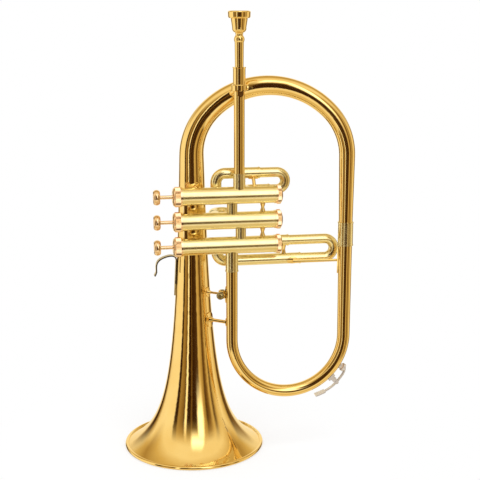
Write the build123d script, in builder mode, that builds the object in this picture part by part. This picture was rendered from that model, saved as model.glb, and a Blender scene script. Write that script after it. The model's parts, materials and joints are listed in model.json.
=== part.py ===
from build123d import *
import math
import os

# A flugelhorn standing on its bell, in millimetres.
# +Z is up and runs along the bell's axis, the valves lie along X with their buttons towards -X,
# and -Y is the side that the valves are on.  The origin is the centre of the bell's mouth.

# ---------------------------------------------------------------- driving dimensions
# Bell: horn flare, radius = flare_scale * (height + flare_offset) ** -flare_power
bell_d = 158.75
bead_d = 4.2
rim_wire_d = 2.8
rim_hole_d = 3.0
rim_height = 2.0
flare_offset = 24.9
flare_power = 0.654
wall = 0.6
bell_top = 326.0
flare_steps = 14

# Wrap: the plane of the valves and of the lower bow, and the bow's two legs
valve_y = -31.5
left_leg_x = 39.3
right_leg_x = 167.3
lower_arc_z = 132.2
ferrule_low_z = 234.8
ferrule_high_z = 261.2
ferrule_d = 16.8
joint_gap = 0.05
left_leg_d = 12.7
lower_arc_d = 14.3
right_leg_d = 15.4
bow_start_d = 17.4
bow_top_d = 21.2
bow_shoulder_r = 70.0
bow_crown_r = 91.0

# Valves
valve_pitch = 27.5
valve_1_z = 294.6
casing_d = 18.9
casing_bore_d = 16.9
casing_ring_d = 19.9
casing_ring_width = 1.6
casing_left_x = -21.5
casing_right_x = 92.0
piston_d = 16.8
piston_left_x = -1.0
piston_right_x = 58.0
piston_wall = 0.7
stroke = 13.0
top_cap_d = 21.8
top_cap_left_x = -25.2
top_cap_right_x = -15.2
bottom_cap_d = 21.2
bottom_cap_left_x = 87.8
bottom_cap_right_x = 94.4
cap_bore_d = 19.0
cap_floor = 1.6
cap_vent_r = 1.5
knurl_depth = 0.45
cap_teeth = 54
cap_face_d = 13.0
cap_step_d = 16.6
cap_step_width = 0.5
cap_round_width = 2.6
cap_round_r = 2.9
cap_rim_width = 1.8
cap_chamfer = 1.6
stem_d = 4.0
stem_hole_d = 4.2
button_d = 16.8
button_left_x = -45.4
button_right_x = -38.8
collar_right_x = -38.5
collar_d = 6.4
spring_wire_d = 0.9
spring_turns = 9

# Tubing of the valve slides
bore_d = 10.2
inner_d = 11.1
sleeve_bore_d = 11.2
sleeve_d = 12.2
knuckle_d = 11.4
slide_y = -14.2
port_depth_y = -27.0
port_bend = 6.9
slide_bend = 10.0

# Places of the ports along the valves
inlet_x = 47.6
knuckle_1_2_x = 39.7
knuckle_2_3_x = 49.3
first_ports_x = (24.7, 56.0)
second_ports_x = (25.4, 44.9)
third_ports_x = (25.4, 60.0)

# Slides
first_upper_z = 316.3
first_lower_z = 297.2
first_crook_x = 92.3
third_upper_z = 239.4
third_lower_z = 218.4
third_crook_x = 147.9
second_sleeve_y = 2.0
second_crook_y = 10.0

# Mouthpipe, its receiver and the mouthpiece
mouthpipe_d = 11.6
inlet_sleeve_d = 13.3
inlet_sleeve_top_z = 318.5
mouthpipe_bottom_z = 305.5
clamp_low_z = 406.4
clamp_high_z = 413.6
clamp_d = 16.6
receiver_low_z = 413.8
receiver_high_z = 431.8
receiver_d = 13.4
mouthpipe_top_z = 424.0
mouthpiece_top_z = 490.0
shank_bottom_z = 416.0

# Small rings, posts and sleeve ends
ring_width = 1.2
ring_height = 0.4
post_x = 73.5
post_waist_d = 3.4
post_foot_d = 6.0
lug_x = -11.0
lug_length = 5.0
lug_width = 6.0
outlet_sleeve_d = 13.8
outlet_ring_z = 210.3
first_upper_end_x = 73.0
first_lower_end_x = 84.0
first_upper_insertion = 29.0
first_lower_insertion = 19.0
third_upper_end_x = 106.0
third_lower_end_x = 120.0
third_upper_insertion = 36.0
third_lower_insertion = 70.0

# Ends of the slides' legs, the knob of the second slide
second_start_y = -18.0
knob_d = 6.5

# Inside the valves
passage_d = 9.6
shoulder_x = -20.0
stem_left_x = -41.5
shoulder_d = 16.4
shoulder_thickness = 1.5
felt_d = 13.0
guide_width = 2.0
guide_inner_r = 6.8
guide_right_x = -3.0
guide_clearance = 0.15
spring_r = 6.3

# Mouthpiece and clamp
shank_tip_r = 4.4
shank_taper = 0.012
rim_r = 12.0
throat_r = 2.1
clamp_screw_d = 2.4
lug_bow_angle = 29.7

# Braces, lyre holder and water key
strut_x = 65.5
third_post_x = 101.0
leg_brace_x = 110.0
leg_brace_z = 217.2
casing_brace_x = 5.0
casing_brace_angle = -67.0
casing_brace_z = {0: 300.0, 2: 236.0}
lyre_body_d = 8.6
lyre_body_h = 9.0
lyre_screw_d = 3.0
lyre_head_d = 8.4
lyre_head_teeth = 28
nipple_height = 2.6
key_lug_outer = 5.2
key_lug_inner = 4.2
key_barrel = 3.6
brace_z = 151.2
lyre_z = 182.8
brace_rod_d = 3.8
lyre_bore_d = 5.0
hook_top_z = 216.7
hook_bottom_z = 177.4
hook_width = 6.8
hook_thickness = 1.4
hook_curl = [(-30.5, 222.2), (-40.3, 214.2), (-40.7, 207.2), (-42.8, 200.9)]
key_angle = -45.0
nipple_angle = -32.0
key_pin_d = 2.0
key_pin_height = 8.2
key_arm = [(-13.0, 8.2), (-7.0, 9.4), (0.0, 10.0), (7.5, 9.8), (13.5, 8.6)]
key_pad = [(17.0, 7.5), (22.5, 5.2), (28.0, 2.4)]
key_arm_thickness = 1.5
key_pad_width = 8.8

# ---------------------------------------------------------------- worked out from those
valve_z = [valve_1_z, valve_1_z - valve_pitch, valve_1_z - 2 * valve_pitch]
bead_r = bell_d / 2 - bead_d / 2
flare_scale = bead_r * flare_offset**flare_power
lower_arc_x = (left_leg_x + right_leg_x) / 2
lower_arc_r = (right_leg_x - left_leg_x) / 2
ferrule_mid_z = (ferrule_low_z + ferrule_high_z) / 2
bow_span = math.hypot(right_leg_x, valve_y)
bow_middle = bow_span / 2
shoulder_offset = bow_middle - bow_shoulder_r
crown_drop = math.sqrt((bow_crown_r - bow_shoulder_r) ** 2 - shoulder_offset**2)
bow_spring_rise = bow_middle - bow_crown_r + crown_drop
crown_centre_rise = bow_spring_rise - crown_drop
crown_half_angle = math.degrees(math.atan2(shoulder_offset, crown_drop))
bow_x_dir = Vector(right_leg_x / bow_span, valve_y / bow_span, 0)
bow_plane = Plane(origin=(0, 0, bell_top), x_dir=bow_x_dir, z_dir=bow_x_dir.cross(Vector(0, 0, 1)))
leg_angle = math.degrees(math.atan2(valve_y, left_leg_x))
leg_distance = math.hypot(left_leg_x, valve_y)
up = Vector(0, 0, 1)
back = Vector(0, 1, 0)


def flare_radius(height):
    """Outside radius of the bell at a height above its mouth."""
    return flare_scale * (height - rim_height + flare_offset) ** -flare_power


def flare_slope(height):
    """How fast the bell narrows with height."""
    return flare_power * flare_radius(height) / (height - rim_height + flare_offset)


def around_z(angle, radius, height):
    """Point at an angle, a radius and a height about the bell's axis."""
    return Vector(radius * math.cos(math.radians(angle)), radius * math.sin(math.radians(angle)), height)


def add_tube(route, outside_d, inside_d):
    """Sweep a ring along a route, into the part that is being built."""
    with BuildSketch(Plane(origin=route @ 0, z_dir=route % 0)) as ring:
        Circle(outside_d / 2)
        Circle(inside_d / 2, mode=Mode.SUBTRACT)
    sweep(ring.sketch, path=route)


def add_rod(start, end, start_d, end_d=None, mode=Mode.ADD):
    """Round rod, or cone, from one point to another."""
    direction = Vector(end) - Vector(start)
    base = Plane(origin=start, z_dir=direction)
    with BuildSketch(base) as near_end:
        Circle(start_d / 2)
    if end_d is None:
        extrude(near_end.sketch, amount=direction.length, mode=mode)
    else:
        with BuildSketch(base.offset(direction.length)) as far_end:
            Circle(end_d / 2)
        loft([near_end.sketch, far_end.sketch], mode=mode)


def cut_valve_casing(number, diameter=casing_d + 2 * joint_gap):
    """Cope the part to the outside of one valve casing."""
    add_rod(
        (casing_left_x, valve_y, valve_z[number]),
        (casing_right_x, valve_y, valve_z[number]),
        diameter,
        mode=Mode.SUBTRACT,
    )


def saddle_pad(tube_point, tube_axis, tube_d, direction, length, width, thickness=1.0):
    """Oval foot that lies on the outside of a straight tube, on the side a direction points to."""
    axis = Vector(tube_axis)
    with BuildPart() as pad:
        with BuildSketch(Plane(origin=Vector(tube_point) - axis * length, z_dir=axis)):
            Circle(tube_d / 2 + joint_gap + thickness)
            Circle(tube_d / 2 + joint_gap, mode=Mode.SUBTRACT)
        extrude(amount=2 * length)
        with BuildSketch(Plane(origin=tube_point, x_dir=axis, z_dir=direction)):
            Ellipse(length / 2, width / 2)
        extrude(amount=tube_d + thickness, mode=Mode.INTERSECT)
    return pad.part


def bell_pad(angle, height, pad_width, pad_height, thickness):
    """Oval foot that lies on the outside of the bell."""
    low = height - pad_height
    high = height + pad_height
    with BuildPart() as pad:
        with BuildSketch(Plane.XZ):
            Polygon(
                (flare_radius(low) + joint_gap, low),
                (flare_radius(low) + joint_gap + thickness, low),
                (flare_radius(high) + joint_gap + thickness, high),
                (flare_radius(high) + joint_gap, high),
                align=None,
            )
        revolve(axis=Axis.Z)
        with BuildSketch(Plane(origin=(0, 0, height), x_dir=(0, 0, 1), z_dir=around_z(angle, 1, 0))):
            Ellipse(pad_height / 2, pad_width / 2)
        extrude(amount=2 * flare_radius(height), mode=Mode.INTERSECT)
    return pad.part


def cut_bell(height, reach=12):
    """Cope the part to the outside of the bell around a height."""
    low = Plane.XY.offset(height - reach)
    high = Plane.XY.offset(height + reach)
    with BuildSketch(low) as low_end:
        Circle(flare_radius(height - reach) + joint_gap)
    with BuildSketch(high) as high_end:
        Circle(flare_radius(height + reach) + joint_gap)
    loft([low_end.sketch, high_end.sketch], mode=Mode.SUBTRACT)


def finish(builder, name):
    """Name a finished piece and write it out."""
    builder.part.label = name
    export_step(builder.part, f"parts/{name}.step")


os.makedirs("parts", exist_ok=True)

# ---------------------------------------------------------------- bell
bell_height = bell_top - rim_height
flare_heights = [rim_height + bell_height * (step / flare_steps) ** 2 for step in range(flare_steps + 1)]
flare_outside = [(flare_radius(h), h) for h in flare_heights]
flare_inside = [(flare_radius(h) - wall * math.hypot(1, flare_slope(h)), h) for h in flare_heights]

with BuildPart() as bell:
    with BuildSketch(Plane.XZ):
        with BuildLine():
            outside = Spline(*flare_outside)
            inside = Spline(*flare_inside)
            Line(outside @ 0, inside @ 0)
            Line(outside @ 1, inside @ 1)
        make_face()
        with Locations((bead_r, rim_height)):
            Circle(bead_d / 2)
            Circle(rim_hole_d / 2, mode=Mode.SUBTRACT)
        with Locations((bead_r, -bead_d / 2)):
            Rectangle(2 * bead_d, bead_d, mode=Mode.SUBTRACT)
    revolve(axis=Axis.Z)
finish(bell, "bell")

with BuildPart() as rim_wire:
    with BuildSketch(Plane.XZ):
        with Locations((bead_r, rim_height)):
            Circle(rim_wire_d / 2)
    revolve(axis=Axis.Z)
finish(rim_wire, "rim_wire")

# ---------------------------------------------------------------- upper and lower bow
bell_tail_d = 2 * flare_radius(bell_top)
shoulder_sweep = 90 - crown_half_angle
with BuildLine(bow_plane) as upper_route:
    Line((0, 0), (0, bow_spring_rise))
    CenterArc((bow_shoulder_r, bow_spring_rise), bow_shoulder_r, 180, -shoulder_sweep)
    CenterArc((bow_middle, crown_centre_rise), bow_crown_r, 90 + crown_half_angle, -2 * crown_half_angle)
    CenterArc((bow_span - bow_shoulder_r, bow_spring_rise), bow_shoulder_r, shoulder_sweep, -shoulder_sweep)
    Line((bow_span, bow_spring_rise), (bow_span, 0))
upper_arc = upper_route.wires()[0]

lower_arc_plane = Plane(origin=(lower_arc_x, valve_y, lower_arc_z), x_dir=(1, 0, 0), z_dir=(0, -1, 0))
with BuildLine(lower_arc_plane) as lower_route:
    CenterArc((0, 0), lower_arc_r, 180, 180)
lower_arc = lower_route.wires()[0]


def add_tapered_arc(route, diameters, mode):
    """Sweep circles of changing diameter, evenly spaced, along an arc."""
    last = len(diameters) - 1
    circles = []
    for place, diameter in enumerate(diameters):
        along = place / last
        with BuildSketch(Plane(origin=route @ along, z_dir=route % along)) as circle:
            Circle(diameter / 2)
        circles.append(circle.sketch)
    sweep(circles, path=route, multisection=True, mode=mode)


with BuildPart() as upper_bow:
    for thinner, mode in ((0, Mode.ADD), (2 * wall, Mode.SUBTRACT)):
        add_tapered_arc(upper_arc, [bell_tail_d - thinner, bow_top_d - thinner, bow_start_d - thinner], mode)
        add_rod(
            upper_arc @ 1,
            (right_leg_x, valve_y, ferrule_high_z),
            bow_start_d - thinner,
            right_leg_d - thinner,
            mode=mode,
        )
        add_rod(
            (right_leg_x, valve_y, ferrule_high_z),
            (right_leg_x, valve_y, ferrule_mid_z + joint_gap),
            right_leg_d - thinner,
            mode=mode,
        )
finish(upper_bow, "upper_bow")

with BuildPart() as lower_bow:
    for thinner, mode in ((0, Mode.ADD), (2 * wall, Mode.SUBTRACT)):
        add_rod(
            (left_leg_x, valve_y, valve_z[2] - casing_d),
            (left_leg_x, valve_y, lower_arc_z),
            left_leg_d - thinner,
            mode=mode,
        )
        add_tapered_arc(lower_arc, [left_leg_d - thinner, lower_arc_d - thinner], mode)
        add_rod(
            (right_leg_x, valve_y, lower_arc_z),
            (right_leg_x, valve_y, ferrule_low_z),
            lower_arc_d - thinner,
            right_leg_d - thinner,
            mode=mode,
        )
        add_rod(
            (right_leg_x, valve_y, ferrule_low_z),
            (right_leg_x, valve_y, ferrule_mid_z - joint_gap),
            right_leg_d - thinner,
            mode=mode,
        )
finish(lower_bow, "lower_bow")

# Solids of the bows' outsides, used to cope small pieces to them
with BuildPart() as upper_core:
    add_tapered_arc(upper_arc, [bell_tail_d + 0.2, bow_top_d + 0.2, bow_start_d + 0.2], Mode.ADD)

with BuildPart() as lower_core:
    add_tapered_arc(lower_arc, [left_leg_d + 2 * joint_gap, lower_arc_d + 2 * joint_gap], Mode.ADD)

with BuildPart() as bow_ferrule:
    with BuildSketch(Plane(origin=(right_leg_x, valve_y, ferrule_low_z))):
        Circle(ferrule_d / 2)
        Circle(right_leg_d / 2 + joint_gap, mode=Mode.SUBTRACT)
    extrude(amount=ferrule_high_z - ferrule_low_z)
    for ring_z in (ferrule_low_z, ferrule_high_z - ring_width):
        with BuildSketch(Plane(origin=(right_leg_x, valve_y, ring_z))):
            Circle(ferrule_d / 2 + ring_height)
            Circle(right_leg_d / 2 + joint_gap, mode=Mode.SUBTRACT)
        extrude(amount=ring_width)
finish(bow_ferrule, "bow_ferrule")

# ---------------------------------------------------------------- valve casings
valve_ports = [
    [
        (inlet_x, valve_z[0], up),
        (knuckle_1_2_x, valve_z[0], -up),
        (first_ports_x[0], valve_z[0], back),
        (first_ports_x[1], first_lower_z, back),
    ],
    [
        (knuckle_1_2_x, valve_z[1], up),
        (knuckle_2_3_x, valve_z[1], -up),
        (second_ports_x[0], valve_z[1], back),
        (second_ports_x[1], valve_z[1], back),
    ],
    [
        (knuckle_2_3_x, valve_z[2], up),
        (left_leg_x, valve_z[2], -up),
        (third_ports_x[0], valve_z[2], back),
        (third_ports_x[1], third_upper_z, back),
    ],
]


def add_along_valve(number, left_x, right_x, diameter, mode=Mode.ADD):
    """Round bar along the axis of one valve."""
    height = valve_z[number]
    add_rod((left_x, valve_y, height), (right_x, valve_y, height), diameter, mode=mode)


def valve_plane(number):
    """Plane through one valve's axis, with +X along it and +Z upwards."""
    return Plane(origin=(0, valve_y, valve_z[number]), x_dir=(1, 0, 0), z_dir=(0, -1, 0))


def across_valve(number, place_x):
    """Plane square to one valve's axis, with +Y along its x and +Z along its y."""
    return Plane(origin=(place_x, valve_y, valve_z[number]), x_dir=(0, 1, 0), z_dir=(1, 0, 0))


def valve_axis(number):
    """Axis of one valve."""
    return Axis((0, valve_y, valve_z[number]), (1, 0, 0))


for number in range(3):
    with BuildPart() as casing:
        add_along_valve(number, casing_left_x, casing_right_x, casing_d)
        add_along_valve(number, top_cap_right_x, top_cap_right_x + casing_ring_width, casing_ring_d)
        add_along_valve(number, bottom_cap_left_x - casing_ring_width, bottom_cap_left_x, casing_ring_d)
        add_along_valve(number, casing_left_x, casing_right_x, casing_bore_d, Mode.SUBTRACT)
        for port_x, port_z, direction in valve_ports[number]:
            port = Vector(port_x, valve_y, port_z)
            add_rod(port, port + direction * casing_d, bore_d, mode=Mode.SUBTRACT)
    finish(casing, f"valve_casing_{number + 1}")

# Ribs inside the casings, which keep the stems' shoulders from turning
guide_left_x = shoulder_x - 1.0
with BuildPart() as valve_guides:
    for number in range(3):
        with BuildSketch(across_valve(number, guide_left_x)) as rib:
            Circle(casing_bore_d / 2 - joint_gap)
            Circle(guide_inner_r, mode=Mode.SUBTRACT)
            with Locations((0, casing_bore_d / 2)):
                Rectangle(guide_width, casing_bore_d, mode=Mode.INTERSECT)
        extrude(rib.sketch, amount=guide_right_x - guide_left_x)
finish(valve_guides, "valve_guides")


# ---------------------------------------------------------------- caps, grouped as one node each
def knurled_disc(diameter, teeth):
    """Disc with small teeth around its edge, in the sketch that is being drawn."""
    points = []
    for step in range(2 * teeth):
        angle = math.pi * step / teeth
        reach = diameter / 2 - knurl_depth * (step % 2)
        points.append((reach * math.cos(angle), reach * math.sin(angle)))
    Polygon(*points, align=None)


def add_knurled_band(number, left_x, right_x, diameter):
    """Knurled band around one valve's axis."""
    with BuildSketch(across_valve(number, left_x)) as band:
        knurled_disc(diameter, cap_teeth)
        Circle(cap_bore_d / 2, mode=Mode.SUBTRACT)
    extrude(band.sketch, amount=right_x - left_x)


with BuildPart() as top_caps:
    for number in range(3):
        with BuildSketch(valve_plane(number)):
            with BuildLine():
                face = Polyline(
                    (top_cap_left_x + cap_floor, stem_hole_d / 2),
                    (top_cap_left_x, stem_hole_d / 2),
                    (top_cap_left_x, cap_face_d / 2),
                    (top_cap_left_x + cap_step_width, cap_step_d / 2),
                )
                shoulder = RadiusArc(
                    face @ 1,
                    (top_cap_left_x + cap_round_width, top_cap_d / 2 - knurl_depth),
                    cap_round_r,
                )
                Polyline(
                    shoulder @ 1,
                    (top_cap_right_x, top_cap_d / 2 - knurl_depth),
                    (top_cap_right_x, cap_bore_d / 2),
                    (top_cap_left_x + cap_floor, cap_bore_d / 2),
                    face @ 0,
                )
            make_face()
        revolve(axis=valve_axis(number))
        add_knurled_band(number, top_cap_left_x + cap_round_width, top_cap_right_x - cap_rim_width, top_cap_d)
finish(top_caps, "top_caps")

with BuildPart() as bottom_caps:
    for number in range(3):
        with BuildSketch(valve_plane(number)):
            with BuildLine():
                Polyline(
                    (bottom_cap_right_x - cap_floor, cap_vent_r),
                    (bottom_cap_right_x, cap_vent_r),
                    (bottom_cap_right_x, cap_step_d / 2 - 0.7),
                    (bottom_cap_right_x - cap_chamfer / 2, cap_step_d / 2 + cap_chamfer / 2),
                    (bottom_cap_right_x - cap_chamfer, bottom_cap_d / 2 - knurl_depth),
                    (bottom_cap_left_x, bottom_cap_d / 2 - knurl_depth),
                    (bottom_cap_left_x, cap_bore_d / 2),
                    (bottom_cap_right_x - cap_floor, cap_bore_d / 2),
                    close=True,
                )
            make_face()
        revolve(axis=valve_axis(number))
        band_right_x = bottom_cap_right_x - cap_rim_width
        add_knurled_band(number, bottom_cap_left_x + ring_width, band_right_x, bottom_cap_d)
finish(bottom_caps, "bottom_caps")

# ---------------------------------------------------------------- tubes and posts between the casings
for name, upper_valve, knuckle_x in (("knuckle_1_2", 0, knuckle_1_2_x), ("knuckle_2_3", 1, knuckle_2_3_x)):
    with BuildPart() as knuckle:
        ends = (knuckle_x, valve_y, valve_z[upper_valve]), (knuckle_x, valve_y, valve_z[upper_valve + 1])
        add_rod(*ends, knuckle_d)
        add_rod(*ends, bore_d, mode=Mode.SUBTRACT)
        cut_valve_casing(upper_valve)
        cut_valve_casing(upper_valve + 1)
    finish(knuckle, name)

with BuildPart() as casing_posts:
    for number in range(2):
        middle_z = (valve_z[number] + valve_z[number + 1]) / 2
        for side in (-1, 1):
            add_rod(
                (post_x, valve_y, middle_z),
                (post_x, valve_y, middle_z + side * (valve_pitch - casing_d) / 2),
                post_waist_d,
                post_foot_d,
            )
            add_rod(
                (post_x, valve_y, middle_z + side * (valve_pitch - casing_d) / 2),
                (post_x, valve_y, middle_z + side * valve_pitch / 2),
                post_foot_d,
            )
    for number in range(3):
        cut_valve_casing(number)
finish(casing_posts, "casing_posts")

with BuildPart() as casing_lugs:
    for number in range(2):
        lug_centre = (lug_x, valve_y, (valve_z[number] + valve_z[number + 1]) / 2)
        with BuildSketch(Plane(origin=lug_centre)) as lug:
            RectangleRounded(lug_length, lug_width, 1.2)
        extrude(lug.sketch, amount=valve_pitch / 2, both=True)
    for number in range(3):
        cut_valve_casing(number)
finish(casing_lugs, "casing_lugs")


# ---------------------------------------------------------------- inlet, outlet and slide sleeves
def add_end_ring(route, outside_d, inside_d):
    """Narrow raised ring around the far end of a tube."""
    end = Plane(origin=route @ 1, z_dir=route % 1)
    with BuildSketch(end) as ring:
        Circle(outside_d / 2 + ring_height)
        Circle(inside_d / 2, mode=Mode.SUBTRACT)
    extrude(ring.sketch, amount=-ring_width)


def bent_route(points, bends):
    """Straight runs joined by bends of the given radii, or one straight run."""
    with BuildLine() as line:
        if bends:
            FilletPolyline(*points, radius=bends)
        else:
            Line(*points)
    return line.wires()[0]


def write_sleeve(name, number, points, bends, outside_d, inside_d):
    """Tube that starts at a valve casing and ends in a raised ring."""
    route = bent_route(points, bends)
    with BuildPart() as sleeve:
        add_tube(route, outside_d, inside_d)
        add_end_ring(route, outside_d, inside_d)
        cut_valve_casing(number)
    finish(sleeve, name)


write_sleeve(
    "inlet_sleeve",
    0,
    [(inlet_x, valve_y, valve_z[0] + 2), (inlet_x, valve_y, inlet_sleeve_top_z)],
    [],
    inlet_sleeve_d,
    mouthpipe_d + 2 * joint_gap,
)
write_sleeve(
    "outlet_sleeve",
    2,
    [(left_leg_x, valve_y, valve_z[2] - 2), (left_leg_x, valve_y, outlet_ring_z)],
    [],
    outlet_sleeve_d,
    left_leg_d + 2 * joint_gap,
)
write_sleeve(
    "first_slide_upper_sleeve",
    0,
    [
        (first_ports_x[0], port_depth_y, valve_z[0]),
        (first_ports_x[0], slide_y, valve_z[0]),
        (first_ports_x[0], slide_y, first_upper_z),
        (first_upper_end_x, slide_y, first_upper_z),
    ],
    [port_bend, slide_bend],
    sleeve_d,
    sleeve_bore_d,
)
write_sleeve(
    "first_slide_lower_sleeve",
    0,
    [
        (first_ports_x[1], port_depth_y, first_lower_z),
        (first_ports_x[1], slide_y, first_lower_z),
        (first_lower_end_x, slide_y, first_lower_z),
    ],
    [port_bend],
    sleeve_d,
    sleeve_bore_d,
)
write_sleeve(
    "third_slide_upper_sleeve",
    2,
    [
        (third_ports_x[1], port_depth_y, third_upper_z),
        (third_ports_x[1], slide_y, third_upper_z),
        (third_upper_end_x, slide_y, third_upper_z),
    ],
    [port_bend],
    sleeve_d,
    sleeve_bore_d,
)
write_sleeve(
    "third_slide_lower_sleeve",
    2,
    [
        (third_ports_x[0], port_depth_y, valve_z[2]),
        (third_ports_x[0], slide_y, valve_z[2]),
        (third_ports_x[0], slide_y, third_lower_z),
        (third_lower_end_x, slide_y, third_lower_z),
    ],
    [port_bend, slide_bend],
    sleeve_d,
    sleeve_bore_d,
)

with BuildPart() as second_slide_sleeves:
    for port_x in second_ports_x:
        route = bent_route([(port_x, port_depth_y, valve_z[1]), (port_x, second_sleeve_y, valve_z[1])], [])
        add_tube(route, sleeve_d, sleeve_bore_d)
        add_end_ring(route, sleeve_d, sleeve_bore_d)
    cut_valve_casing(1)
finish(second_slide_sleeves, "second_slide_sleeves")


# ---------------------------------------------------------------- slide crooks
def crook_route(plane, starts, bend_at, levels):
    """Two parallel legs of a slide, from their free ends to the half-round bend between them."""
    radius = abs(levels[1] - levels[0]) / 2
    middle = (levels[0] + levels[1]) / 2
    with BuildLine(plane) as line:
        Line((starts[0], levels[0]), (bend_at, levels[0]))
        RadiusArc((bend_at, levels[0]), (bend_at, levels[1]), -radius if levels[0] < middle else radius)
        Line((bend_at, levels[1]), (starts[1], levels[1]))
    return line.wires()[0]


side_plane = Plane(origin=(0, slide_y, 0), x_dir=(1, 0, 0), z_dir=(0, -1, 0))
first_starts = (first_upper_end_x - first_upper_insertion, first_lower_end_x - first_lower_insertion)
with BuildPart() as first_slide_crook:
    first_route = crook_route(side_plane, first_starts, first_crook_x, (first_upper_z, first_lower_z))
    add_tube(first_route, inner_d, bore_d)
finish(first_slide_crook, "first_slide_crook")

third_starts = (third_upper_end_x - third_upper_insertion, third_lower_end_x - third_lower_insertion)
with BuildPart() as third_slide_crook:
    third_route = crook_route(side_plane, third_starts, third_crook_x, (third_upper_z, third_lower_z))
    add_tube(third_route, inner_d, bore_d)
finish(third_slide_crook, "third_slide_crook")

top_plane = Plane(origin=(0, 0, valve_z[1]), x_dir=(0, 1, 0), z_dir=(0, 0, -1))
second_middle_x = sum(second_ports_x) / 2
second_apex_y = second_crook_y + (second_ports_x[1] - second_ports_x[0]) / 2 + inner_d / 2
with BuildPart() as second_slide_crook:
    legs = crook_route(top_plane, (second_start_y, second_start_y), second_crook_y, second_ports_x)
    add_tube(legs, inner_d, bore_d)
    add_rod(
        (second_middle_x, second_apex_y - 0.4, valve_z[1]),
        (second_middle_x, second_apex_y + knob_d / 2 + 1, valve_z[1]),
        3.0,
    )
    with Locations((second_middle_x, second_apex_y + knob_d / 2 + 1, valve_z[1])):
        Sphere(knob_d / 2)
finish(second_slide_crook, "second_slide_crook")

# ---------------------------------------------------------------- braces between the tubes
first_sleeve_point = Vector(strut_x, slide_y, first_upper_z)
valve_1_point = Vector(strut_x, valve_y, valve_z[0])
to_valve = (valve_1_point - first_sleeve_point).normalized()
strut_pad = saddle_pad(first_sleeve_point, (1, 0, 0), sleeve_d, to_valve, 11, 7)
strut_foot = saddle_pad(valve_1_point, (1, 0, 0), casing_d, -to_valve, 8, 7)
with BuildPart() as first_slide_strut:
    add_rod(
        first_sleeve_point + to_valve * (sleeve_d / 2 + 0.5),
        valve_1_point - to_valve * (casing_d / 2 + 0.5),
        brace_rod_d,
    )
    add(strut_pad)
    add(strut_foot)
finish(first_slide_strut, "first_slide_strut")

with BuildPart() as third_slide_post:
    post_middle_z = (third_upper_z + third_lower_z) / 2
    for sleeve_z in (third_upper_z, third_lower_z):
        add_rod(
            (third_post_x, slide_y, post_middle_z),
            (third_post_x, slide_y, sleeve_z),
            post_waist_d,
            post_foot_d + 1.5,
        )
    for sleeve_z in (third_upper_z, third_lower_z):
        add_rod(
            (third_post_x - post_foot_d, slide_y, sleeve_z),
            (third_post_x + post_foot_d, slide_y, sleeve_z),
            sleeve_d + 2 * joint_gap,
            mode=Mode.SUBTRACT,
        )
finish(third_slide_post, "third_slide_post")

leg_side = Vector(-1, 0.45, 0).normalized()
leg_point = Vector(right_leg_x, valve_y, leg_brace_z)
leg_share = (leg_brace_z - lower_arc_z) / (ferrule_low_z - lower_arc_z)
leg_d_at_brace = lower_arc_d + (right_leg_d - lower_arc_d) * leg_share
leg_foot = saddle_pad(leg_point, (0, 0, 1), leg_d_at_brace + 0.2, leg_side, 30, 7)
sleeve_foot = saddle_pad((leg_brace_x, slide_y, third_lower_z), (1, 0, 0), sleeve_d, (0, -1, -0.25), 13, 8)
with BuildPart() as third_slide_brace:
    add_rod(
        (leg_brace_x, slide_y - sleeve_d / 2 - 2.0, third_lower_z - 1.6),
        leg_point + leg_side * (leg_d_at_brace / 2 + 0.6),
        4.6,
        2.8,
    )
    add_rod(
        (leg_brace_x - 10, slide_y, third_lower_z),
        (third_lower_end_x + 1, slide_y, third_lower_z),
        sleeve_d + 2 * ring_height + 2 * joint_gap,
        mode=Mode.SUBTRACT,
    )
    add_rod(leg_point - up * 5, leg_point + up * 5, leg_d_at_brace + 0.2, mode=Mode.SUBTRACT)
    add(leg_foot)
    add(sleeve_foot)
finish(third_slide_brace, "third_slide_brace")

to_leg = around_z(leg_angle, 1, 0)
bell_foot = bell_pad(leg_angle, brace_z, 15, 17, 1.1)
leg_foot = saddle_pad((left_leg_x, valve_y, brace_z), (0, 0, 1), left_leg_d, -to_leg, 9, 7)
with BuildPart() as bell_bow_brace:
    bell_end = around_z(leg_angle, flare_radius(brace_z) + 0.6, brace_z)
    leg_end = around_z(leg_angle, leg_distance - left_leg_d / 2 - 0.6, brace_z)
    add_rod(bell_end, bell_end + to_leg * 5, 7.5, brace_rod_d)
    add_rod(bell_end, leg_end, brace_rod_d)
    add(bell_foot)
    add(leg_foot)
finish(bell_bow_brace, "bell_bow_brace")

casing_feet = []
bell_feet = []
for number, height in casing_brace_z.items():
    rise = height - valve_z[number]
    outwards = Vector(0, math.sqrt((casing_d / 2) ** 2 - rise**2), rise)
    casing_point = (casing_brace_x, valve_y, valve_z[number])
    casing_feet.append(saddle_pad(casing_point, (1, 0, 0), casing_d, outwards, 9, 7))
    bell_feet.append(bell_pad(casing_brace_angle, height, 11, 15, 1.0))
with BuildPart() as casing_braces:
    for height in casing_brace_z.values():
        add_rod(around_z(casing_brace_angle, 5, height), (casing_brace_x, valve_y + 2, height), 5.0)
        cut_bell(height)
    cut_valve_casing(0)
    cut_valve_casing(2)
    for foot in casing_feet + bell_feet:
        add(foot)
finish(casing_braces, "casing_braces")

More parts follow.
